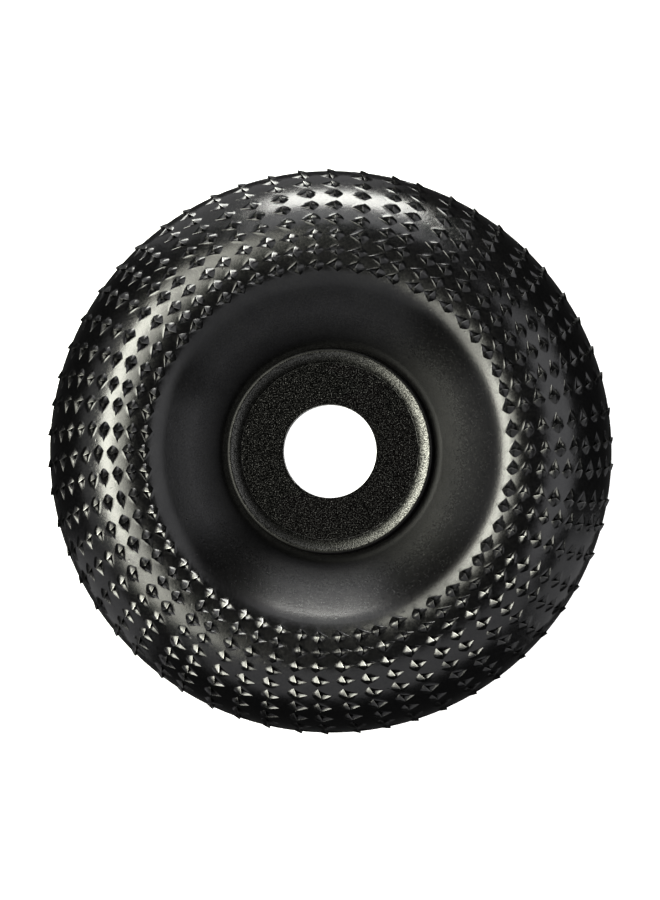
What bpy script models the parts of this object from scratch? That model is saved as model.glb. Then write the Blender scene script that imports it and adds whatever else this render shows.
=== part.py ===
"""Wood carving disc for an angle grinder.

A dished steel shell carries rows of raised barbs on its rounded rim. A bored hub core passes through
the middle of the shell from behind, and its shoulder bears on the back of the shell. A collar is
pressed over the front of the core and bears on the floor of the dish.

Z is the spindle axis, and the barbed side faces +Z. The shell stands on its rear edge at Z = 0.
Every length is in metres.
"""

import math

import bmesh
import bpy

MM = 0.001

# Rim and dish of the shell. The skin is a chain of arcs, which meet without a corner.
CREST_RADIUS = 33.75 * MM
CREST_HEIGHT = 14.0 * MM
BOWL_ARC = 65.0 * MM
INNER_CREST_ARC = 9.6 * MM
OUTER_ARC = 15.5 * MM
SHOULDER_ARC = 9.9 * MM
FOOT_SLOPE = math.radians(-25.5)
WALL_SLOPE = math.radians(-35.0)
SHOULDER_SLOPE = math.radians(60.0)
EDGE_SLOPE = math.radians(90.0)
SHEET = 2.4 * MM
EDGE_ROUND = 0.8 * MM

# Barbs
COLUMNS = 58
COLUMN_STEP = math.tau / COLUMNS
ROWS_FEW = 9
ROWS_MANY = 10
FIRST_BARB = -2.95 * MM
LAST_BARB = 20.75 * MM
ROW_SHIFT = 0.3 * MM
COLUMN_SHIFT = math.radians(0.55)
COLUMN_LEAN = math.radians(3.0)
BARB_BACK = 1.15 * MM
BARB_TAIL = 2.15 * MM
BARB_HEIGHT = 0.75 * MM
PIT_DEPTH = 0.45 * MM
PIT_OFFSET = 0.55 * MM
BARB_SHIFT = 0.18 * MM
FULL_SIZE_PITCH = 4.0 * MM

# Hub
GAP = 0.3 * MM
BORE_RADIUS = 8.0 * MM
BORE_CHAMFER = 0.3 * MM
CORE_RADIUS = 15.1 * MM
CORE_FRONT = 7.9 * MM
CORE_REAR = 2.4 * MM
SHOULDER_RADIUS = 18.0 * MM
SHOULDER_CHAMFER = 0.4 * MM
COLLAR_FOOT_RADIUS = 17.95 * MM
COLLAR_TOP_RADIUS = 17.5 * MM
COLLAR_LIP_RADIUS = 17.1 * MM
COLLAR_LIP_HEIGHT = 8.45 * MM
COLLAR_INNER_HEIGHT = 8.0 * MM
HUB_STEPS = 64


def scatter(first, second):
    """A fixed, irregular number from -1 to 1 for each pair of whole numbers."""
    value = math.sin(first * 12.9898 + second * 78.233) * 43758.5453
    return 2.0 * (value - math.floor(value)) - 1.0


def arc_end(radius, height, slope, arc, end_slope):
    """Where an arc of the skin ends, and its length. A slope is the normal's tilt away from Z."""
    bend = math.copysign(1.0 / arc, end_slope - slope)
    length = (end_slope - slope) / bend
    return (
        radius + (math.sin(end_slope) - math.sin(slope)) / bend,
        height + (math.cos(end_slope) - math.cos(slope)) / bend,
        length,
    )


def skin_chain():
    """The skin's arcs from the foot of the dish to the rear edge: start, radius, height, slope, bend."""
    drop_crest = arc_end(0.0, 0.0, WALL_SLOPE, INNER_CREST_ARC, 0.0)
    drop_bowl = arc_end(0.0, 0.0, FOOT_SLOPE, BOWL_ARC, WALL_SLOPE)
    radius = CREST_RADIUS - drop_crest[0] - drop_bowl[0]
    height = CREST_HEIGHT - drop_crest[1] - drop_bowl[1]
    chain = []
    start = -drop_crest[2] - drop_bowl[2]
    slope = FOOT_SLOPE
    for arc, end_slope in (
        (BOWL_ARC, WALL_SLOPE),
        (INNER_CREST_ARC, 0.0),
        (OUTER_ARC, SHOULDER_SLOPE),
        (SHOULDER_ARC, EDGE_SLOPE),
    ):
        bend = math.copysign(1.0 / arc, end_slope - slope)
        chain.append((start, radius, height, slope, bend))
        radius, height, length = arc_end(radius, height, slope, arc, end_slope)
        start += length
        slope = end_slope
    chain.append((start, radius, height, slope, 0.0))
    return chain


SKIN = skin_chain()
FOOT_RADIUS = SKIN[0][1]
FLOOR_HEIGHT = SKIN[0][2]
RIM_RADIUS = SKIN[-1][1]


def skin_point(along):
    """Radius, height and slope of the skin at a distance along it, measured outwards from the crest."""
    start, radius, height, slope, bend = next(
        (arc for arc in reversed(SKIN) if arc[0] <= along), SKIN[0]
    )
    run = along - start
    if bend == 0.0:
        return radius + run * math.cos(slope), height - run * math.sin(slope), slope
    end = slope + bend * run
    return (
        radius + (math.sin(end) - math.sin(slope)) / bend,
        height + (math.cos(end) - math.cos(slope)) / bend,
        end,
    )


def on_skin(angle, along, lift=0.0):
    """A point on the skin at an angle about Z, lifted off it along its normal."""
    radius, height, slope = skin_point(along)
    radius += lift * math.sin(slope)
    height += lift * math.cos(slope)
    return radius * math.cos(angle), radius * math.sin(angle), height


def column_angle(column, along):
    """The angle of one column of barbs, which leans forward as it goes outwards."""
    share = (along - FIRST_BARB) / (LAST_BARB - FIRST_BARB)
    turns, column = divmod(column, COLUMNS)
    shift = COLUMN_SHIFT * scatter(column, 7)
    return turns * math.tau + column * COLUMN_STEP + shift + COLUMN_LEAN * share**2


def barb_size(column, along):
    """The share of full size that a barb has room for before the next column."""
    pitch = skin_point(along)[0] * (column_angle(column + 1, along) - column_angle(column, along))
    return min(1.0, pitch / FULL_SIZE_PITCH)


def column_corners(column):
    """The distances along the skin of the points where one barb of a column meets the next."""
    rows = ROWS_FEW if scatter(column, 3) < 0.0 else ROWS_MANY
    first = FIRST_BARB + ROW_SHIFT * scatter(column, 11)
    last = LAST_BARB + ROW_SHIFT * scatter(column, 13)
    corners = [first]
    for row in range(1, rows):
        even = first + (last - first) * row / rows
        corners.append(even + BARB_SHIFT * scatter(column, 20 + row))
    return corners + [last]


def add_barb(mesh, column, row, low, high):
    """One barb with its pit, between the corners low and high. It returns its back and tail points."""
    low_along, low_vert = low
    high_along, high_vert = high
    middle = (low_along + high_along) / 2
    radius = skin_point(middle)[0]
    size = barb_size(column, middle)
    axis = column_angle(column, middle) + BARB_SHIFT * scatter(column, 40 + row) / radius

    def at(forward, lift):
        return mesh.verts.new(on_skin(axis + forward * size / radius, middle, lift))

    back = at(-BARB_BACK, 0.0)
    tail = at(BARB_TAIL, 0.0)
    tip = at(0.0, BARB_HEIGHT)
    pit = at(PIT_OFFSET, -PIT_DEPTH)
    for corner in (low_vert, high_vert):
        mesh.faces.new((back, tip, corner))
        mesh.faces.new((tip, pit, corner))
        mesh.faces.new((pit, tail, corner))
    return (middle, back), (middle, tail)


def zip_strip(mesh, left, right):
    """Triangles between two rows of (distance, vertex) that run the same way."""
    here, there = 0, 0
    while here < len(left) - 1 or there < len(right) - 1:
        step_left = there == len(right) - 1 or (
            here < len(left) - 1 and left[here + 1][0] <= right[there + 1][0]
        )
        if step_left:
            mesh.faces.new((left[here][1], right[there][1], left[here + 1][1]))
            here += 1
        else:
            mesh.faces.new((left[here][1], right[there][1], right[there + 1][1]))
            there += 1


def add_barbs(mesh):
    """The barbed zone. It returns its inner and outer rings of vertices."""
    sides = []
    for column in range(COLUMNS):
        corners = [
            (along, mesh.verts.new(on_skin(column_angle(column, along), along)))
            for along in column_corners(column)
        ]
        backs = [corners[0]]
        tails = [corners[0]]
        for row, (low, high) in enumerate(zip(corners, corners[1:])):
            back, tail = add_barb(mesh, column, row, low, high)
            backs += [back, high]
            tails += [tail, high]
        sides.append((backs, tails))
    for column in range(COLUMNS):
        zip_strip(mesh, sides[column][1], sides[(column + 1) % COLUMNS][0])
    inner = [backs[0][1] for backs, _ in sides]
    outer = [backs[-1][1] for backs, _ in sides]
    return inner, outer


def plain_sections():
    """(radius, height) of the plain rings, from the rim's rear edge round the back to the dish."""
    edge_radius = RIM_RADIUS - EDGE_ROUND
    back_edge_radius = RIM_RADIUS - SHEET
    sections = []
    for turn in (0.0, 45.0, 90.0):
        swing = math.radians(turn)
        sections.append(
            (
                edge_radius + EDGE_ROUND * math.cos(swing),
                EDGE_ROUND - EDGE_ROUND * math.sin(swing),
            )
        )
    for turn in (90.0, 135.0, 180.0):
        swing = math.radians(turn)
        sections.append(
            (
                back_edge_radius + EDGE_ROUND + EDGE_ROUND * math.cos(swing),
                EDGE_ROUND - EDGE_ROUND * math.sin(swing),
            )
        )
    back_steps = (4, 4, 6, 3)
    for arc in reversed(range(4)):
        start = SKIN[arc][0]
        length = SKIN[arc + 1][0] - start
        for step in reversed(range(back_steps[arc])):
            radius, height, slope = skin_point(start + length * (step + 1) / back_steps[arc])
            sections.append((radius - SHEET * math.sin(slope), height - SHEET * math.cos(slope)))
    hole = CORE_RADIUS + GAP
    sections += [(FOOT_RADIUS, FLOOR_HEIGHT - SHEET), (hole, FLOOR_HEIGHT - SHEET), (hole, FLOOR_HEIGHT)]
    dish_length = SKIN[1][0] - SKIN[0][0]
    dish_steps = 5
    for step in range(dish_steps + 1):
        radius, height, _ = skin_point(SKIN[0][0] + dish_length * step / dish_steps)
        sections.append((radius, height))
    lip_steps = 3
    lip_length = FIRST_BARB - 2 * ROW_SHIFT - SKIN[1][0]
    for step in range(1, lip_steps + 1):
        radius, height, _ = skin_point(SKIN[1][0] + lip_length * step / lip_steps)
        sections.append((radius, height))
    return sections


def finish_object(name, mesh, colour, roughness):
    """An object with its own steel material, shaded smooth except across sharp edges."""
    material = bpy.data.materials.new(name)
    material.use_nodes = True
    shader = material.node_tree.nodes["Principled BSDF"]
    shader.inputs["Base Color"].default_value = (colour, colour, colour, 1.0)
    shader.inputs["Metallic"].default_value = 1.0
    shader.inputs["Roughness"].default_value = roughness
    mesh.materials.append(material)
    obj = bpy.data.objects.new(name, mesh)
    bpy.context.scene.collection.objects.link(obj)
    mesh.shade_smooth()
    mesh.set_sharp_from_angle(angle=math.radians(25.0))
    return obj


def make_toothed_shell():
    """The dished shell: its barbed zone, then plain rings round the rear edge and back to the dish."""
    mesh = bmesh.new()
    inner, outer = add_barbs(mesh)
    sections = plain_sections()
    previous = outer
    for number, (radius, height) in enumerate(sections):
        lean = COLUMN_LEAN * (1.0 - number / (len(sections) - 1))
        ring = []
        for column in range(COLUMNS):
            angle = column * COLUMN_STEP + lean
            ring.append(mesh.verts.new((radius * math.cos(angle), radius * math.sin(angle), height)))
        join_rings(mesh, previous, ring)
        previous = ring
    join_rings(mesh, previous, inner)
    bmesh.ops.recalc_face_normals(mesh, faces=mesh.faces)
    data = bpy.data.meshes.new("toothed_shell")
    mesh.to_mesh(data)
    mesh.free()
    return finish_object("toothed_shell", data, 0.03, 0.35)


def join_rings(mesh, first, second):
    """Quads between two rings of vertices with the same number of points."""
    for here in range(len(first)):
        after = (here + 1) % len(first)
        mesh.faces.new((first[here], first[after], second[after], second[here]))


def make_turned(name, outline, colour, roughness):
    """A turned piece. The outline runs down the outer side and back up the inner side."""
    mesh = bmesh.new()
    points = [mesh.verts.new((radius, 0.0, height)) for radius, height in outline]
    for here, point in enumerate(points):
        mesh.edges.new((point, points[(here + 1) % len(points)]))
    data = bpy.data.meshes.new(name)
    mesh.to_mesh(data)
    mesh.free()
    obj = finish_object(name, data, colour, roughness)
    screw = obj.modifiers.new("turn", "SCREW")
    screw.axis = "Z"
    screw.angle = math.tau
    screw.steps = HUB_STEPS
    screw.render_steps = HUB_STEPS
    screw.use_smooth_shade = True
    return obj


def make_hub_core():
    """The bored core, with a flat face in front and a shoulder and flat seat behind."""
    shoulder_top = FLOOR_HEIGHT - SHEET - GAP
    outline = [
        (CORE_RADIUS, CORE_FRONT),
        (CORE_RADIUS, shoulder_top),
        (SHOULDER_RADIUS, shoulder_top),
        (SHOULDER_RADIUS, CORE_REAR + SHOULDER_CHAMFER),
        (SHOULDER_RADIUS - SHOULDER_CHAMFER, CORE_REAR),
        (BORE_RADIUS + BORE_CHAMFER, CORE_REAR),
        (BORE_RADIUS, CORE_REAR + BORE_CHAMFER),
        (BORE_RADIUS, CORE_FRONT - BORE_CHAMFER),
        (BORE_RADIUS + BORE_CHAMFER, CORE_FRONT),
    ]
    return make_turned("hub_core", outline, 0.02, 0.6)


def make_hub_collar():
    """The collar round the front of the core. Its top slopes inwards from a raised lip."""
    inner = CORE_RADIUS + GAP
    outline = [
        (COLLAR_LIP_RADIUS, COLLAR_LIP_HEIGHT),
        (COLLAR_TOP_RADIUS, COLLAR_LIP_HEIGHT - GAP),
        (COLLAR_FOOT_RADIUS, FLOOR_HEIGHT + GAP),
        (inner, FLOOR_HEIGHT + GAP),
        (inner, COLLAR_INNER_HEIGHT),
    ]
    return make_turned("hub_collar", outline, 0.04, 0.4)


def main():
    for obj in list(bpy.data.objects):
        bpy.data.objects.remove(obj, do_unlink=True)
    make_toothed_shell()
    make_hub_core()
    make_hub_collar()


main()
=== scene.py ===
import math

import bmesh
import bpy
from mathutils import Matrix, Vector, noise


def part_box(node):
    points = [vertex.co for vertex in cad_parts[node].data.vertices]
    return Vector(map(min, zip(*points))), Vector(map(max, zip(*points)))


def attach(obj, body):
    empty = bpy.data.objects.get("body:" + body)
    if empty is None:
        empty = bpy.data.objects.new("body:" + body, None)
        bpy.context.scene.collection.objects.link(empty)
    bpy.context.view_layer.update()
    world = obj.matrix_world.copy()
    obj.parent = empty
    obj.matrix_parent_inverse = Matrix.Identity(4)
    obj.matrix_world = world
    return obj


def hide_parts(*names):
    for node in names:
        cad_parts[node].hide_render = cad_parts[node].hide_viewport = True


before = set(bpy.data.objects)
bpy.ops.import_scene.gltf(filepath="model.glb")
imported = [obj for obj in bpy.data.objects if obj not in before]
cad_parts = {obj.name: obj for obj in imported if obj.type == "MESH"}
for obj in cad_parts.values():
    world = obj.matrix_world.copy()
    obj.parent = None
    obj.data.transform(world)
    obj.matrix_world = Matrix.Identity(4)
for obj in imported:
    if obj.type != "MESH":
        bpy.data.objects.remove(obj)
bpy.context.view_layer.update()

MM = 0.001

# ---------------------------------------------------------------- the hub's sizes
# The bore is the CAD's. The others are read from the frame.
CORE_LOW, CORE_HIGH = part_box("hub_core")
_, COLLAR_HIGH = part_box("hub_collar")
CORE_FRONT = CORE_HIGH[2]
CORE_REAR = CORE_LOW[2]
SHOULDER_RADIUS = CORE_HIGH[0]
BORE_RADIUS = 8.0 * MM
COLLAR_FOOT_RADIUS = COLLAR_HIGH[0]
COLLAR_TOP = COLLAR_HIGH[2]

# ---------------------------------------------------------------- the shell's sizes, as in the CAD
CREST_RADIUS = 33.75 * MM
CREST_HEIGHT = 14.0 * MM
BOWL_ARC = 65.0 * MM
INNER_CREST_ARC = 9.6 * MM
OUTER_ARC = 15.5 * MM
SHOULDER_ARC = 9.9 * MM
FOOT_SLOPE = math.radians(-25.5)
WALL_SLOPE = math.radians(-35.0)
SHOULDER_SLOPE = math.radians(60.0)
EDGE_SLOPE = math.radians(90.0)
SHEET = 2.4 * MM
EDGE_ROUND = 0.8 * MM

COLUMNS = 58
COLUMN_STEP = math.tau / COLUMNS
ROWS_FEW = 9
ROWS_MANY = 10
LAST_BARB = 20.75 * MM
ROW_SHIFT = 0.3 * MM
COLUMN_SHIFT = math.radians(0.55)
COLUMN_LEAN = math.radians(3.0)
BARB_SHIFT = 0.18 * MM

# ---------------------------------------------------------------- the barbs as the eye sees them
# Their layout is the CAD's, but they start 0.45 mm further in and reach their full size in
# narrower columns. Each has a pointed arch behind, two facets that meet in a ridge, and a
# pointed groove in front of the tip.
FIRST_BARB = -3.4 * MM
FULL_SIZE_PITCH = 3.7 * MM
BARB_BACK = 1.1 * MM
BARB_TAIL = 2.25 * MM
BARB_HEIGHT = 0.72 * MM
BARB_WIDTH_SHARE = 0.82
INNER_GAIN = 0.14
INNER_REACH = 4.0 * MM
OUTER_DROP = 0.28
WIDTH_SCATTER = 0.06
SIZE_SCATTER = 0.05
TIP_LEAN = 0.50 * MM
FACE_FOOT = 0.55 * MM
PIT_DEPTH = 0.38 * MM
LIP_HEIGHT = 0.05 * MM
LIP_WIDTH = 0.14 * MM

# How fast each measure of a barb falls off from its middle to its two corners.
TAIL_POWER = 1.2
ARCH_POWER = 1.7
TIP_POWER = 0.85
DEPTH_POWER = 0.8
LIP_POWER = 0.5

# (share of the way from the back to the tip, wear) of the points up a barb's back, and the
# shares of the way from the facet's foot to the groove's end.
BACK_POINTS = ((0.0, 0.25), (0.25, 0.0), (0.55, 0.0), (0.88, 0.3))
BACK_POWER = 0.7
GROOVE_SHARES = (0.35, 0.7)
GROOVE_POWER = 0.8
LIP_WEAR = 0.35
BARB_POINTS = len(BACK_POINTS) + len(GROOVE_SHARES) + 3

# The mesh between the barbs: shares of the plain skin's width at either side of a barb.
BEFORE_BARB = (0.0, 0.55)
AFTER_BARB = (0.0, 0.5, 1.0)
ROW_STEPS = 8
SEAM_SHARE = 0.62
SEAM_HALF = 0.03
RING_POINTS = COLUMNS * 4


# ---------------------------------------------------------------- the skin of the shell, as in the CAD
def scatter(first, second):
    """A fixed, irregular number from -1 to 1 for each pair of whole numbers.

    The second number keeps the uses of one column's scatter apart.
    """
    value = math.sin(first * 12.9898 + second * 78.233) * 43758.5453
    return 2.0 * (value - math.floor(value)) - 1.0


def arc_end(radius, height, slope, arc, end_slope):
    """Where an arc of the skin ends, and its length. A slope is the normal's tilt away from Z."""
    bend = math.copysign(1.0 / arc, end_slope - slope)
    length = (end_slope - slope) / bend
    return (
        radius + (math.sin(end_slope) - math.sin(slope)) / bend,
        height + (math.cos(end_slope) - math.cos(slope)) / bend,
        length,
    )


def skin_chain():
    """The skin's arcs from the foot of the dish to the rear edge: start, radius, height, slope, bend."""
    drop_crest = arc_end(0.0, 0.0, WALL_SLOPE, INNER_CREST_ARC, 0.0)
    drop_bowl = arc_end(0.0, 0.0, FOOT_SLOPE, BOWL_ARC, WALL_SLOPE)
    radius = CREST_RADIUS - drop_crest[0] - drop_bowl[0]
    height = CREST_HEIGHT - drop_crest[1] - drop_bowl[1]
    chain = []
    start = -drop_crest[2] - drop_bowl[2]
    slope = FOOT_SLOPE
    for arc, end_slope in (
        (BOWL_ARC, WALL_SLOPE),
        (INNER_CREST_ARC, 0.0),
        (OUTER_ARC, SHOULDER_SLOPE),
        (SHOULDER_ARC, EDGE_SLOPE),
    ):
        bend = math.copysign(1.0 / arc, end_slope - slope)
        chain.append((start, radius, height, slope, bend))
        radius, height, length = arc_end(radius, height, slope, arc, end_slope)
        start += length
        slope = end_slope
    chain.append((start, radius, height, slope, 0.0))
    return chain


SKIN = skin_chain()
FOOT_RADIUS = SKIN[0][1]
FLOOR_HEIGHT = SKIN[0][2]
RIM_RADIUS = SKIN[-1][1]


def skin_point(along):
    """Radius, height and slope of the skin at a distance along it, measured outwards from the crest."""
    start, radius, height, slope, bend = next(
        (arc for arc in reversed(SKIN) if arc[0] <= along), SKIN[0]
    )
    run = along - start
    if bend == 0.0:
        return radius + run * math.cos(slope), height - run * math.sin(slope), slope
    end = slope + bend * run
    return (
        radius + (math.sin(end) - math.sin(slope)) / bend,
        height + (math.cos(end) - math.cos(slope)) / bend,
        end,
    )


# The bowl flattens in a short sweep before it goes in under the collar, where the CAD has a corner.
SWEEP_START = SKIN[0][0] + 0.6 * MM
SWEEP_ARC = 3.0 * MM
SWEEP_END_SLOPE = math.radians(-4.0)


def sweep_sections(steps):
    """(radius, height) along the sweep, from the collar outwards, up to where the bowl takes over."""
    radius, height, slope = skin_point(SWEEP_START)
    made = []
    for step in range(steps):
        here = SWEEP_END_SLOPE + (slope - SWEEP_END_SLOPE) * step / steps
        made.append(
            (
                radius - SWEEP_ARC * (math.sin(here) - math.sin(slope)),
                height - SWEEP_ARC * (math.cos(here) - math.cos(slope)),
            )
        )
    return made


DISH_LOW = sweep_sections(1)[0][1]


def on_skin(angle, along, lift=0.0):
    """A point on the skin at an angle about Z, lifted off it along its normal."""
    radius, height, slope = skin_point(along)
    radius += lift * math.sin(slope)
    height += lift * math.cos(slope)
    return radius * math.cos(angle), radius * math.sin(angle), height


def column_angle(column, along):
    """The angle of one column of barbs, which leans forward as it goes outwards."""
    share = (along - FIRST_BARB) / (LAST_BARB - FIRST_BARB)
    turns, column = divmod(column, COLUMNS)
    shift = COLUMN_SHIFT * scatter(column, 7)
    return turns * math.tau + column * COLUMN_STEP + shift + COLUMN_LEAN * share**2


def barb_size(column, along):
    """The share of full size that a barb has room for before the next column."""
    pitch = skin_point(along)[0] * (column_angle(column + 1, along) - column_angle(column, along))
    return min(1.0, pitch / FULL_SIZE_PITCH)


def column_corners(column):
    """The distances along the skin of the points where one barb of a column meets the next."""
    rows = ROWS_FEW if scatter(column, 3) < 0.0 else ROWS_MANY
    first = FIRST_BARB + ROW_SHIFT * scatter(column, 11)
    last = LAST_BARB + ROW_SHIFT * scatter(column, 13)
    corners = [first]
    for row in range(1, rows):
        even = first + (last - first) * row / rows
        corners.append(even + BARB_SHIFT * scatter(column, 20 + row))
    return corners + [last]


# ---------------------------------------------------------------- mesh building
class Surface:
    """Points, faces and their materials, with one number for each point that says how worn it is."""

    def __init__(self):
        self.points = []
        self.wear = []
        self.faces = []
        self.slots = []

    def point(self, place, wear=0.0):
        self.points.append(place)
        self.wear.append(wear)
        return len(self.points) - 1

    def face(self, corners, slot=0):
        kept = [c for n, c in enumerate(corners) if c != corners[n - 1]]
        if len(kept) > 2:
            self.faces.append(kept)
            self.slots.append(slot)

    def ring(self, radius, height, count=RING_POINTS, lead=0.0, wear=0.0):
        """A level ring of points about Z."""
        made = []
        for step in range(count):
            angle = lead + math.tau * step / count
            made.append(self.point((radius * math.cos(angle), radius * math.sin(angle), height), wear))
        return made

    def join(self, first, second, slot=0):
        """Quads between two rings with the same number of points."""
        for here in range(len(first)):
            after = (here + 1) % len(first)
            self.face((first[here], first[after], second[after], second[here]), slot)

    def zip(self, left, right, slot=0):
        """Triangles between two rows of (measure, point) that run the same way."""
        here, there = 0, 0
        while here < len(left) - 1 or there < len(right) - 1:
            step_left = there == len(right) - 1 or (
                here < len(left) - 1 and left[here + 1][0] <= right[there + 1][0]
            )
            if step_left:
                self.face((left[here][1], right[there][1], left[here + 1][1]), slot)
                here += 1
            else:
                self.face((left[here][1], right[there][1], right[there + 1][1]), slot)
                there += 1

    def piece(self, name, sharp=30.0):
        """The finished object. Faces are turned outwards, and edges sharper than the angle stay crisp."""
        mesh = bpy.data.meshes.new(name)
        mesh.from_pydata(self.points, [], self.faces)
        mesh.polygons.foreach_set("material_index", self.slots)
        wear = mesh.attributes.new("wear", "FLOAT", "POINT")
        wear.data.foreach_set("value", self.wear)
        obj = bpy.data.objects.new(name, mesh)
        bpy.context.scene.collection.objects.link(obj)
        turn_outwards(mesh)
        mesh.shade_smooth()
        mesh.set_sharp_from_angle(angle=math.radians(sharp))
        return obj


def turn_outwards(mesh):
    """Makes every face agree with its neighbours and point out of the closed body."""
    work = bmesh.new()
    work.from_mesh(mesh)
    bmesh.ops.recalc_face_normals(work, faces=work.faces)
    work.to_mesh(mesh)
    work.free()


# ---------------------------------------------------------------- the shell with its barbs
def barb_line(side, size, stand):
    """(forward, lift, wear) across one barb. side runs from -1 to 1 between its two corners."""
    width = 1.0 - abs(side)
    back = -BARB_BACK * (1.0 - abs(side) ** ARCH_POWER)
    tip = TIP_LEAN * width
    rise = BARB_HEIGHT * width**TIP_POWER
    foot = FACE_FOOT * width
    depth = PIT_DEPTH * width**DEPTH_POWER
    tail = BARB_TAIL * width**TAIL_POWER
    line = []
    for share, wear in BACK_POINTS:
        line.append((back + (tip - back) * share, rise * share**BACK_POWER, wear))
    line.append((tip, rise, 1.0))
    line.append((foot, -depth, 0.0))
    for share in GROOVE_SHARES:
        line.append((foot + (tail - foot) * share, -depth * (1.0 - share) ** GROOVE_POWER, 0.0))
    line.append((tail, LIP_HEIGHT * width**LIP_POWER, LIP_WEAR))
    return [(forward * size, lift * stand, wear) for forward, lift, wear in line]


def seam_angle(column, along):
    """The angle of the seam between one column's patch and the next."""
    here = column_angle(column, along)
    return here + SEAM_SHARE * (column_angle(column + 1, along) - here)


def column_rows(column):
    """(along, side, size, stand, shift) for each line of points across the barbs of one column."""
    corners = column_corners(column)
    rows = []
    for row, (low, high) in enumerate(zip(corners, corners[1:])):
        middle = (low + high) / 2
        gain = 1.0 + INNER_GAIN * max(0.0, 1.0 - (middle - FIRST_BARB) / INNER_REACH)
        spread = 1.0 + WIDTH_SCATTER * scatter(column, 60 + row)
        half = (high - low) / 2 * BARB_WIDTH_SHARE * gain * spread
        size = barb_size(column, middle) * (1.0 + SIZE_SCATTER * scatter(column, 80 + row))
        stand = 1.0 - OUTER_DROP * ((middle - FIRST_BARB) / (LAST_BARB - FIRST_BARB)) ** 2
        shift = BARB_SHIFT * scatter(column, 40 + row)
        for step in range(ROW_STEPS + 1):
            side = 2.0 * step / ROW_STEPS - 1.0
            rows.append((middle + half * side, side, size, stand, shift))
    return rows


def column_patch(surface, column):
    """One column of barbs with the plain skin at both sides. It returns its left, right and end rows."""
    barb_start = len(BEFORE_BARB)
    barb_end = barb_start + BARB_POINTS - 1
    before = None
    left, right, ends = [], [], []
    for along, side, size, stand, shift in column_rows(column):
        radius = skin_point(along)[0]
        width = 1.0 - abs(side)
        axis = column_angle(column, along) + shift / radius
        seam = COLUMN_STEP * SEAM_HALF
        left_angle = seam_angle(column - 1, along) + seam
        right_angle = seam_angle(column, along) - seam
        line = []
        if width < 1e-6:
            corner = surface.point(on_skin(axis, along))
            barb = [corner] * BARB_POINTS
            first_angle, last_angle = axis, axis
        else:
            barb = []
            for forward, lift, wear in barb_line(side, size, stand):
                barb.append(surface.point(on_skin(axis + forward / radius, along, lift), wear))
            first_angle = axis - BARB_BACK * size * (1.0 - abs(side) ** ARCH_POWER) / radius
            last_angle = axis + BARB_TAIL * size * width**TAIL_POWER / radius
        for share in BEFORE_BARB:
            angle = left_angle + (first_angle - left_angle) * share
            line.append(surface.point(on_skin(angle, along)))
        line += barb
        lip_angle = last_angle + LIP_WIDTH / radius
        for share in AFTER_BARB:
            angle = lip_angle + (right_angle - lip_angle) * share
            line.append(surface.point(on_skin(angle, along)))
        if before:
            for here in range(len(line) - 1):
                slot = 1 if barb_start <= here < barb_end else 0
                surface.face((before[here], before[here + 1], line[here + 1], line[here]), slot)
        left.append((along, line[0]))
        right.append((along, line[-1]))
        ends.append(line)
        before = line
    return left, right, ends[0], ends[-1]


def ring_angles(surface, ring):
    """A ring's points with their angles, each once and in order, closed with the first one turned on."""
    seen = []
    for point in ring:
        if not seen or point != seen[-1][1]:
            x, y, _ = surface.points[point]
            seen.append((math.atan2(y, x) % math.tau, point))
    start = min(range(len(seen)), key=lambda n: seen[n][0])
    seen = seen[start:] + seen[:start]
    return seen + [(seen[0][0] + math.tau, seen[0][1])]


def plain_sections():
    """(radius, height) from the barbs' outer end round the rear edge and the back to the dish."""
    sections = []
    edge_start = LAST_BARB + 2 * ROW_SHIFT
    side_steps = 2
    for step in range(side_steps + 1):
        radius, height, _ = skin_point(edge_start + (SKIN[-1][0] - edge_start) * step / side_steps)
        sections.append((radius, height))
    edge_steps = 6
    for centre, first_turn in ((RIM_RADIUS - EDGE_ROUND, 0.0), (RIM_RADIUS - SHEET + EDGE_ROUND, 90.0)):
        for step in range(edge_steps + 1):
            swing = math.radians(first_turn + 90.0 * step / edge_steps)
            sections.append(
                (centre + EDGE_ROUND * math.cos(swing), EDGE_ROUND * (1.0 - math.sin(swing)))
            )
    back_steps = (14, 10, 16, 8)
    for arc in reversed(range(len(back_steps))):
        start = SKIN[arc][0]
        length = SKIN[arc + 1][0] - start
        for step in reversed(range(back_steps[arc])):
            radius, height, slope = skin_point(start + length * (step + 1) / back_steps[arc])
            sections.append((radius - SHEET * math.sin(slope), height - SHEET * math.cos(slope)))
    hole_inset = 2.4 * MM
    hole = COLLAR_FOOT_RADIUS - hole_inset
    sections += [(FOOT_RADIUS, FLOOR_HEIGHT - SHEET), (hole, FLOOR_HEIGHT - SHEET), (hole, DISH_LOW)]
    sweep_steps = 10
    sections += sweep_sections(sweep_steps)
    dish_steps = 30
    dish_end = FIRST_BARB - 2 * ROW_SHIFT
    for step in range(dish_steps + 1):
        radius, height, _ = skin_point(SWEEP_START + (dish_end - SWEEP_START) * step / dish_steps)
        sections.append((radius, height))
    return sections


def make_shell():
    """The shell: columns of barbs joined side by side, then rings round its edge, back and dish."""
    surface = Surface()
    patches = [column_patch(surface, column) for column in range(COLUMNS)]
    for column in range(COLUMNS):
        surface.zip(patches[column][1], patches[(column + 1) % COLUMNS][0])
    inner = [point for patch in patches for point in patch[2]]
    outer = [point for patch in patches for point in patch[3]]
    sections = plain_sections()
    rings = [surface.ring(*sections[0])]
    surface.zip(ring_angles(surface, outer), ring_angles(surface, rings[0]))
    for section in sections[1:]:
        rings.append(surface.ring(*section))
        surface.join(rings[-2], rings[-1])
    surface.zip(ring_angles(surface, rings[-1]), ring_angles(surface, inner))
    return surface.piece("barbed_shell", 32.0)


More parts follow.
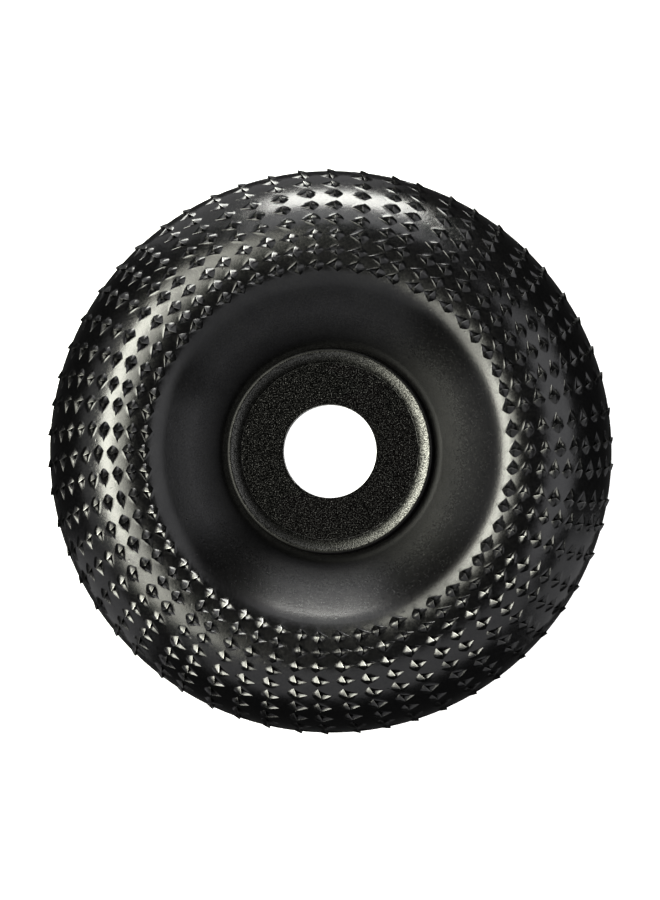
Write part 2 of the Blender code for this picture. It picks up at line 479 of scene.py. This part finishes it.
# ---------------------------------------------------------------- the hub
def arc_points(centre, radius, first, last, steps):
    """Points of an arc in the (radius, height) plane, its angles in degrees."""
    made = []
    for step in range(steps + 1):
        angle = math.radians(first + (last - first) * step / steps)
        made.append((centre[0] + radius * math.cos(angle), centre[1] + radius * math.sin(angle)))
    return made


def make_turned(name, outline, slots, count=RING_POINTS, sharp=30.0):
    """A turned piece from a closed outline. slots gives the material of each stretch of the outline."""
    surface = Surface()
    rings = [surface.ring(radius, height, count) for radius, height in outline]
    for here, ring in enumerate(rings):
        surface.join(ring, rings[(here + 1) % len(rings)], slots[here])
    return surface.piece(name, sharp)


def make_core():
    """The bored core: a coarse front face, a bore whose front half carries a painted reflection of the
    floor, and a turned seat.
    """
    face_radius = COLLAR_FOOT_RADIUS - 2.7 * MM
    shoulder_top = FLOOR_HEIGHT - SHEET - 0.02 * MM
    shoulder_edge = 0.2 * MM
    chamfer = 0.4 * MM
    bore_edge = 0.09 * MM
    face_edge = 0.04 * MM
    face_steps = 44
    face_start = BORE_RADIUS + bore_edge
    face = []
    for step in range(face_steps + 1):
        face.append((face_start + (face_radius - face_edge - face_start) * step / face_steps, CORE_FRONT))
    groove_depth = 0.12 * MM
    groove_outer = SHOULDER_RADIUS - 4.0 * MM
    groove_inner = SHOULDER_RADIUS - 4.7 * MM
    groove_side = 0.2 * MM
    outline = face + [
        (face_radius, CORE_FRONT - face_edge),
        (face_radius, shoulder_top),
        (SHOULDER_RADIUS - shoulder_edge, shoulder_top),
        (SHOULDER_RADIUS, shoulder_top - shoulder_edge),
        (SHOULDER_RADIUS, CORE_REAR + chamfer),
        (SHOULDER_RADIUS - chamfer, CORE_REAR),
        (groove_outer, CORE_REAR),
        (groove_outer - groove_side, CORE_REAR + groove_depth),
        (groove_inner + groove_side, CORE_REAR + groove_depth),
        (groove_inner, CORE_REAR),
        (BORE_RADIUS + chamfer, CORE_REAR),
        (BORE_RADIUS + 0.1 * MM, CORE_REAR + 0.25 * MM),
        (BORE_RADIUS, CORE_REAR + 0.5 * MM),
        (BORE_RADIUS, (CORE_REAR + CORE_FRONT) / 2),
        (BORE_RADIUS, CORE_FRONT - 0.3 * MM),
        (BORE_RADIUS + 0.03 * MM, CORE_FRONT - 0.12 * MM),
    ]
    # The bore's front half gets the pale material, a painted reflection of the floor.
    floor_reflection_steps = 2
    dark_steps = len(outline) - face_steps - floor_reflection_steps - 1
    slots = [0] * face_steps + [1] * dark_steps + [2] * floor_reflection_steps + [1]
    obj = make_turned("bored_core", outline, slots, COLUMNS * 6, 35.0)
    roughen_face(obj.data, face_start, face_radius)
    return obj


def roughen_face(mesh, inner, outer):
    """Gives the front face of the core its coarse, blasted grain as real relief."""
    hair = 1e-6
    for vertex in mesh.vertices:
        radius = math.hypot(vertex.co.x, vertex.co.y)
        if abs(vertex.co.z - CORE_FRONT) > hair or not inner - hair < radius < outer:
            continue
        grain = noise.noise(vertex.co * 3400.0) * 0.022 + noise.noise(vertex.co * 900.0) * 0.018
        vertex.co.z += (grain - 0.045) * MM


def make_collar():
    """The collar, with a rounded outer corner and a top that slopes down from its lip to the core."""
    inner = COLLAR_FOOT_RADIUS - 2.67 * MM
    wall = COLLAR_FOOT_RADIUS - 0.20 * MM
    corner = 0.56 * MM
    lean = math.radians(21.5)
    centre = (wall - corner, COLLAR_TOP - corner)
    ramp_end = (centre[0] - corner * math.sin(lean), centre[1] + corner * math.cos(lean))
    rise = 0.45 * MM
    power = math.tan(lean) * (ramp_end[0] - inner) / rise
    ramp_steps = 12
    corner_steps = 12
    outline = []
    for step in range(ramp_steps):
        share = step / ramp_steps
        outline.append(
            (inner + (ramp_end[0] - inner) * share, ramp_end[1] - rise + rise * share**power)
        )
    outline += arc_points(centre, corner, 90.0 + math.degrees(lean), 0.0, corner_steps)
    outline += [
        (wall + 0.02 * MM, DISH_LOW + 0.9 * MM),
        (wall + 0.05 * MM, DISH_LOW + 0.1 * MM),
        (inner, DISH_LOW + 0.02 * MM),
    ]
    # The top's finish reaches a quarter of the way round the corner.
    top_steps = ramp_steps + corner_steps // 4
    slots = [0] * top_steps + [1] * (len(outline) - top_steps)
    return make_turned("pressed_collar", outline, slots, COLUMNS * 4, 40.0)


# ---------------------------------------------------------------- materials
class Nodes:
    """A short way to write a material's node tree."""

    def __init__(self, name):
        self.material = bpy.data.materials.new(name)
        self.material.use_nodes = True
        self.tree = self.material.node_tree
        self.shader = self.tree.nodes["Principled BSDF"]
        self.place = self.add("ShaderNodeTexCoord").outputs["Object"]

    def add(self, kind, **settings):
        node = self.tree.nodes.new(kind)
        for key, value in settings.items():
            setattr(node, key, value)
        return node

    def link(self, source, target):
        self.tree.links.new(source, target)

    def noise(self, scale, detail=3.0, roughness=0.55, stretch=None):
        node = self.add("ShaderNodeTexNoise")
        node.inputs["Scale"].default_value = scale
        node.inputs["Detail"].default_value = detail
        node.inputs["Roughness"].default_value = roughness
        place = self.place
        if stretch:
            mapping = self.add("ShaderNodeMapping")
            mapping.inputs["Scale"].default_value = stretch
            self.link(place, mapping.inputs["Vector"])
            place = mapping.outputs["Vector"]
        self.link(place, node.inputs["Vector"])
        return node.outputs["Fac"]

    def radius(self):
        """The distance from the spindle axis."""
        flat = self.add("ShaderNodeVectorMath", operation="MULTIPLY")
        flat.inputs[1].default_value = (1.0, 1.0, 0.0)
        self.link(self.place, flat.inputs[0])
        length = self.add("ShaderNodeVectorMath", operation="LENGTH")
        self.link(flat.outputs["Vector"], length.inputs[0])
        return length.outputs["Value"]

    def spots(self, scale, size):
        """Small round spots, 1 inside and 0 outside."""
        node = self.add("ShaderNodeTexVoronoi")
        node.inputs["Scale"].default_value = scale
        self.link(self.place, node.inputs["Vector"])
        return self.fit(node.outputs["Distance"], 0.0, size, 1.0, 0.0)

    def fit(self, value, low, high, new_low, new_high):
        node = self.add("ShaderNodeMapRange")
        for name, number in (
            ("From Min", low),
            ("From Max", high),
            ("To Min", new_low),
            ("To Max", new_high),
        ):
            node.inputs[name].default_value = number
        self.link(value, node.inputs["Value"])
        return node.outputs["Result"]

    def math(self, operation, first, second):
        node = self.add("ShaderNodeMath", operation=operation)
        for socket, value in zip(node.inputs, (first, second)):
            if isinstance(value, (int, float)):
                socket.default_value = value
            else:
                self.link(value, socket)
        return node.outputs[0]

    def mix(self, share, first, second):
        node = self.add("ShaderNodeMix", data_type="RGBA")
        self.link(share, node.inputs["Factor"])
        for socket, value in ((node.inputs[6], first), (node.inputs[7], second)):
            if isinstance(value, tuple):
                socket.default_value = (*value, 1.0)
            else:
                self.link(value, socket)
        return node.outputs[2]

    def bump(self, height, strength, distance, normal=None):
        node = self.add("ShaderNodeBump")
        node.inputs["Strength"].default_value = strength
        node.inputs["Distance"].default_value = distance
        self.link(height, node.inputs["Height"])
        if normal:
            self.link(normal, node.inputs["Normal"])
        return node.outputs["Normal"]

    def steel(self, colour, roughness, normal):
        self.shader.inputs["Metallic"].default_value = 1.0
        self.link(colour, self.shader.inputs["Base Color"])
        self.link(roughness, self.shader.inputs["Roughness"])
        self.link(normal, self.shader.inputs["Normal"])
        return self.material


def grey(value):
    """A neutral colour."""
    return value, value, value


WORN_STEEL = (0.22, 0.22, 0.215)
SATIN_BLACK = grey(0.002)
# Painted shade: the black that the dish is darkened to round the hub.
HUB_SHADE_BLACK = grey(0.001)

# The radii where the dish's satin finish and the painted shade round the hub are at their full share and
# where they end.
SATIN_FULL = 27.0 * MM
SATIN_END = 32.5 * MM
HUB_SHADE_FULL = 19.2 * MM
HUB_SHADE_END = 24.0 * MM


def coated_steel(name, dark, light, smooth, rough, grain, satin_dish_and_hub_shade=False):
    """Black coated steel: mottled colour, uneven gloss, fine grain, a few pits and worn edges.

    With the dish option it turns satin and gritty in the dish, and near the hub it is darkened with
    painted shade and made rougher.
    """
    nodes = Nodes(name)
    mottle = nodes.noise(260.0, 4.0)
    fine = nodes.noise(2400.0, 5.0, 0.65)
    pits = nodes.spots(420.0, 0.10)
    blend = nodes.math("ADD", nodes.math("MULTIPLY", mottle, 0.4), nodes.math("MULTIPLY", fine, 0.6))
    colour = nodes.mix(nodes.fit(blend, 0.36, 0.64, 0.0, 1.0), dark, light)
    if satin_dish_and_hub_shade:
        satin = nodes.fit(nodes.radius(), SATIN_FULL, SATIN_END, 1.0, 0.0)
        grit = nodes.fit(nodes.noise(4200.0, 1.0, 0.5), 0.3, 0.7, 0.34, 0.60)
        colour = nodes.mix(nodes.math("MULTIPLY", satin, grit), colour, SATIN_BLACK)
        # Painted shade: the dish darkens towards the hub, where the collar shades it. The same mask makes
        # it rougher there.
        painted_hub_shade = nodes.fit(nodes.radius(), HUB_SHADE_FULL, HUB_SHADE_END, 0.75, 0.0)
        colour = nodes.mix(painted_hub_shade, colour, HUB_SHADE_BLACK)
    wear = nodes.add("ShaderNodeAttribute", attribute_name="wear").outputs["Fac"]
    patchy_wear = nodes.math("MULTIPLY", wear, nodes.fit(mottle, 0.2, 0.8, 0.7, 1.0))
    colour = nodes.mix(nodes.fit(patchy_wear, 0.3, 1.0, 0.0, 1.0), colour, WORN_STEEL)
    roughness = nodes.fit(fine, 0.25, 0.75, smooth, rough)
    if satin_dish_and_hub_shade:
        roughness = nodes.math("ADD", roughness, nodes.math("MULTIPLY", satin, 0.04))
        roughness = nodes.math("ADD", roughness, nodes.math("MULTIPLY", painted_hub_shade, 0.12))
    normal = nodes.bump(fine, grain, 0.00005)
    normal = nodes.bump(pits, 0.4, -0.00006, normal)
    return nodes.steel(colour, roughness, normal)


def blasted_grain_and_painted_glints(nodes):
    """The colour and the height of blasted grain: painted shade in its hollows and painted glints on its
    tops.
    """
    height = nodes.noise(4700.0, 1.5, 0.6)
    patches = nodes.noise(1500.0, 2.0, 0.6)
    # Painted light: the colour follows the grain's height, near black in the hollows as shade and bright
    # on the tops as glints.
    tops = nodes.math("POWER", nodes.fit(height, 0.28, 0.72, 0.0, 1.0), 5.0)
    glint = nodes.math("MULTIPLY", tops, nodes.fit(patches, 0.3, 0.7, 0.6, 1.6))
    return nodes.mix(glint, grey(0.0004), grey(0.082)), height


def coarse_face_steel():
    """The blasted clamping face."""
    nodes = Nodes("coarse_black")
    colour, height = blasted_grain_and_painted_glints(nodes)
    roughness = nodes.fit(height, 0.3, 0.7, 0.50, 0.38)
    normal = nodes.bump(height, 1.0, 0.00006)
    return nodes.steel(colour, roughness, normal)


def collar_steel():
    """The collar: the face's grain with its painted glints, paler and glossier up the slope, and darkened
    with painted shade at the lip's corner.
    """
    nodes = Nodes("collar_black")
    slope_start = COLLAR_FOOT_RADIUS - 2.75 * MM
    slope_end = COLLAR_FOOT_RADIUS - 1.3 * MM
    corner_shade_start = COLLAR_FOOT_RADIUS - 0.85 * MM
    corner_shade_end = COLLAR_FOOT_RADIUS - 0.45 * MM
    dark, height = blasted_grain_and_painted_glints(nodes)
    pale = nodes.mix(nodes.fit(height, 0.36, 0.64, 0.0, 1.0), grey(0.010), (0.100, 0.100, 0.097))
    nearness = nodes.fit(nodes.radius(), slope_start, slope_end, 0.0, 1.0)
    corner = nodes.fit(nodes.radius(), corner_shade_start, corner_shade_end, 0.0, 1.0)
    # Painted shade: the lip's outer corner is darkened to near black.
    colour = nodes.mix(corner, nodes.mix(nearness, dark, pale), grey(0.006))
    roughness = nodes.fit(height, 0.3, 0.7, 0.34, 0.22)
    normal = nodes.bump(height, 0.8, 0.00004)
    return nodes.steel(colour, roughness, normal)


def bare_steel_floor_reflection():
    """The front half of the bore: bare steel where the coat is thin, made pale and partly diffuse so that
    the floor's glow lights it as a painted reflection of the floor.
    """
    nodes = Nodes("bore_steel_and_floor_reflection")
    rings = nodes.noise(700.0, 3.0, 0.5, (0.05, 0.05, 1.0))
    mottle = nodes.noise(300.0, 3.0)
    # Pale and partly diffuse, so that the floor's glow lights it: a painted reflection of the floor.
    colour = nodes.mix(mottle, grey(0.30), (0.62, 0.62, 0.61))
    roughness = nodes.fit(mottle, 0.3, 0.7, 0.28, 0.45)
    normal = nodes.bump(rings, 0.5, 0.00004)
    material = nodes.steel(colour, roughness, normal)
    nodes.shader.inputs["Metallic"].default_value = 0.3
    return material


def floor_paper():
    """White paper that glows, so that it comes out pure white."""
    nodes = Nodes("pale_floor")
    grain = nodes.noise(12.0, 3.0)
    nodes.link(nodes.mix(grain, grey(0.80), grey(0.83)), nodes.shader.inputs["Base Color"])
    nodes.shader.inputs["Roughness"].default_value = 0.9
    nodes.shader.inputs["Emission Color"].default_value = (1.0, 1.0, 1.0, 1.0)
    nodes.shader.inputs["Emission Strength"].default_value = 1.0
    return nodes.material


# ---------------------------------------------------------------- stage, light and camera
CENTRE = Vector((0.0, 0.0, 1.5 * MM))
AIM = Vector((-0.1 * MM, 0.29 * MM, 1.5 * MM))
LIGHT_DISTANCE = 0.8
WHITE = (1.0, 1.0, 1.0)
WARM = (1.0, 1.0, 0.86)
SLIGHTLY_WARM = (1.0, 1.0, 0.92)
WORLD_LIGHT = 0.052


def direction(tilt, azimuth):
    """A unit vector tilted away from +Z towards an azimuth, both in degrees."""
    tilt, azimuth = math.radians(tilt), math.radians(azimuth)
    return Vector((math.sin(tilt) * math.cos(azimuth), math.sin(tilt) * math.sin(azimuth), math.cos(tilt)))


def softbox(name, tilt, azimuth, tilt_spread, side_spread, radiance, colour=WHITE):
    """An area light that faces the disc. The spreads are half the angles that it fills, in degrees."""
    light = bpy.data.lights.new(name, "AREA")
    light.shape = "RECTANGLE"
    light.size = 2.0 * LIGHT_DISTANCE * math.tan(math.radians(side_spread))
    light.size_y = 2.0 * LIGHT_DISTANCE * math.tan(math.radians(tilt_spread))
    # An area light's radiance is its energy over four times its area.
    light.energy = radiance * 4.0 * light.size * light.size_y
    light.color = colour
    obj = bpy.data.objects.new(name, light)
    away = direction(tilt, azimuth)
    side = direction(90.0, azimuth + 90.0)
    obj.location = CENTRE + away * LIGHT_DISTANCE
    obj.rotation_euler = Matrix((side, away.cross(side), away)).transposed().to_euler()
    bpy.context.scene.collection.objects.link(obj)


def make_floor():
    """A plain floor just under the disc. The disc doesn't mirror its glow, and it casts no shadow."""
    mesh = bpy.data.meshes.new("floor")
    half = 4.0
    depth = -0.02 * MM
    corners = [(-half, -half, depth), (half, -half, depth), (half, half, depth), (-half, half, depth)]
    mesh.from_pydata(corners, [], [(0, 1, 2, 3)])
    floor = bpy.data.objects.new("floor", mesh)
    floor.data.materials.append(floor_paper())
    floor.visible_glossy = False
    floor.visible_shadow = False
    bpy.context.scene.collection.objects.link(floor)


def make_lights():
    """Softboxes where the disc mirrors them, and a dim grey world.

    The low ones shine up through the floor.
    """
    softbox("left_key", 38.0, 171.0, 8.5, 20.0, 9.6, WARM)
    softbox("left_spread", 30.0, 172.0, 16.0, 34.0, 4.6, WARM)
    softbox("left_low", 62.0, 178.0, 12.0, 27.0, 0.36)
    softbox("top_key", 80.5, 88.0, 11.0, 17.0, 15.0, SLIGHTLY_WARM)
    softbox("top_spread", 57.0, 90.0, 13.0, 19.0, 1.5)
    softbox("right_fill", 48.0, 8.0, 17.0, 24.0, 0.95)
    softbox("near_fill", 50.0, 282.0, 20.0, 40.0, 0.5)
    softbox("low_right", 104.0, 332.0, 27.0, 12.0, 0.55)
    softbox("low_left", 104.0, 212.0, 27.0, 12.0, 0.55)
    softbox("low_far", 104.0, 105.0, 27.0, 24.0, 0.55)

    world = bpy.data.worlds.new("studio")
    bpy.context.scene.world = world
    world.use_nodes = True
    background = world.node_tree.nodes["Background"]
    background.inputs["Color"].default_value = (*grey(WORLD_LIGHT), 1.0)
    background.inputs["Strength"].default_value = 1.0


def make_camera():
    camera = bpy.data.cameras.new("camera")
    obj = bpy.data.objects.new("camera", camera)
    bpy.context.scene.collection.objects.link(obj)
    distance = 1.5
    frame_width = 0.1139
    camera.sensor_fit = "HORIZONTAL"
    camera.sensor_width = 36.0
    camera.lens = camera.sensor_width * distance / frame_width
    camera.clip_start = 0.01
    away = direction(1.5, -32.0)
    up = (Vector((0.0, 1.0, 0.0)) - away * away.y).normalized()
    obj.location = AIM + away * distance
    obj.rotation_euler = Matrix((up.cross(away), up, away)).transposed().to_euler()
    bpy.context.scene.camera = obj


def make_pieces():
    """The three visible pieces with their materials, each in the order of its slots."""
    shell = make_shell()
    rim_black = coated_steel(
        "rim_black", (0.045, 0.045, 0.047), (0.062, 0.062, 0.063), 0.16, 0.26, 0.3, satin_dish_and_hub_shade=True
    )
    barb_black = coated_steel("barb_black", (0.040, 0.040, 0.042), grey(0.060), 0.16, 0.28, 0.25)
    shell.data.materials.append(rim_black)
    shell.data.materials.append(barb_black)
    core = make_core()
    core.data.materials.append(coarse_face_steel())
    core.data.materials.append(
        coated_steel("seat_black", (0.045, 0.045, 0.047), grey(0.07), 0.30, 0.42, 0.3)
    )
    core.data.materials.append(bare_steel_floor_reflection())
    collar = make_collar()
    collar.data.materials.append(collar_steel())
    collar.data.materials.append(coated_steel("wall_black", grey(0.014), grey(0.024), 0.36, 0.50, 0.5))
    return shell, core, collar


def main():
    bpy.context.scene.view_settings.view_transform = "Standard"
    make_camera()
    make_floor()
    make_lights()
    shell, core, collar = make_pieces()
    for piece, node, slot in (
        (shell, "toothed_shell", "shell_steel"),
        (core, "hub_core", "core_steel"),
        (collar, "hub_collar", "collar_steel"),
    ):
        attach(piece, "root")
        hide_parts(node)


main()
